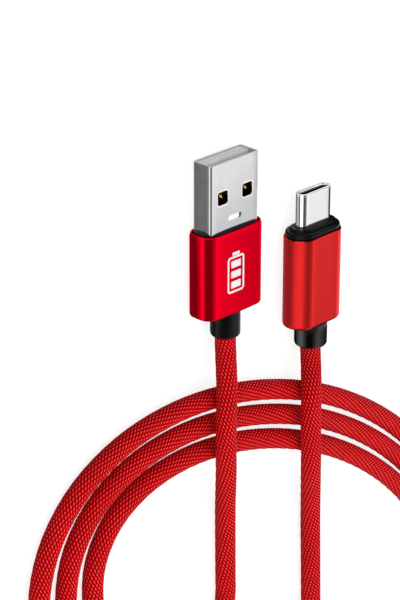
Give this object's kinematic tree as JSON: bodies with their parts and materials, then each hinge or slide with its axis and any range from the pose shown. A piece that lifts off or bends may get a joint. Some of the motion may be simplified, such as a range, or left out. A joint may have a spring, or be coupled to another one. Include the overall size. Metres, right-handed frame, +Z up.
{
  "type": "charging cable",
  "caption": "USB-A to USB-C charging cable with metal plug housings and a braided cord laid in an oval coil.",
  "frame": {"origin": "bottom centre of the box round the two plugs, where they lie on their wide faces", "axes": "+Z up, +Y toward the plugs' mating ends, +X across the plugs from the USB-A to the USB-C plug"},
  "size_m": [0.1244, 0.154, 0.0082],
  "materials": {
    "satin_shell": "satin nickel plate",
    "polished_shell": "polished nickel plate",
    "red_satin_metal": "red anodised, satin",
    "red_gloss_metal": "red, glossy",
    "black_plastic": "semi-matt black moulding",
    "grey_plastic": "light grey moulding",
    "black_rubber": "smooth black elastomer",
    "contact_gold": "gold flash",
    "crimp_brass": "plain",
    "circuit_board": "green solder mask",
    "wire_red": "insulation",
    "wire_black": "insulation",
    "wire_white": "insulation",
    "wire_green": "insulation",
    "white_print": "printed ink",
    "red_braid": "woven nylon braid"
  },
  "bodies": {
    "root": {"usb_a_shell": "satin_shell", "usb_a_tongue_nose": "grey_plastic", "usb_a_contact_block": "black_plastic", "usb_a_contact_vbus": "contact_gold", "usb_a_contact_data_minus": "contact_gold", "usb_a_contact_data_plus": "contact_gold", "usb_a_contact_ground": "contact_gold", "usb_a_housing": "red_satin_metal", "usb_a_bezel": "black_plastic", "usb_a_inner_mould": "black_plastic", "usb_a_strain_relief": "black_rubber", "usb_a_crimp_ring": "crimp_brass", "usb_a_wire_red": "wire_red", "usb_a_wire_black": "wire_black", "usb_a_wire_white": "wire_white", "usb_a_wire_green": "wire_green", "usb_a_mark_outline": "white_print", "usb_a_mark_bar_1": "white_print", "usb_a_mark_bar_2": "white_print", "usb_a_mark_bar_3": "white_print", "usb_c_shell": "polished_shell", "usb_c_insulator": "black_plastic", "usb_c_contacts_upper": "contact_gold", "usb_c_contacts_lower": "contact_gold", "usb_c_latch_plate": "polished_shell", "usb_c_paddle_card": "circuit_board", "usb_c_resistor": "black_plastic", "usb_c_housing": "red_gloss_metal", "usb_c_bezel": "black_plastic", "usb_c_inner_mould": "black_plastic", "usb_c_strain_relief": "black_rubber", "usb_c_crimp_ring": "crimp_brass", "usb_c_wire_red": "wire_red", "usb_c_wire_black": "wire_black", "usb_c_wire_white": "wire_white", "usb_c_wire_green": "wire_green", "cable_lead_a": "red_braid", "cable_lead_c": "red_braid", "cable_coil": "red_braid"}
  },
  "joints": []
}
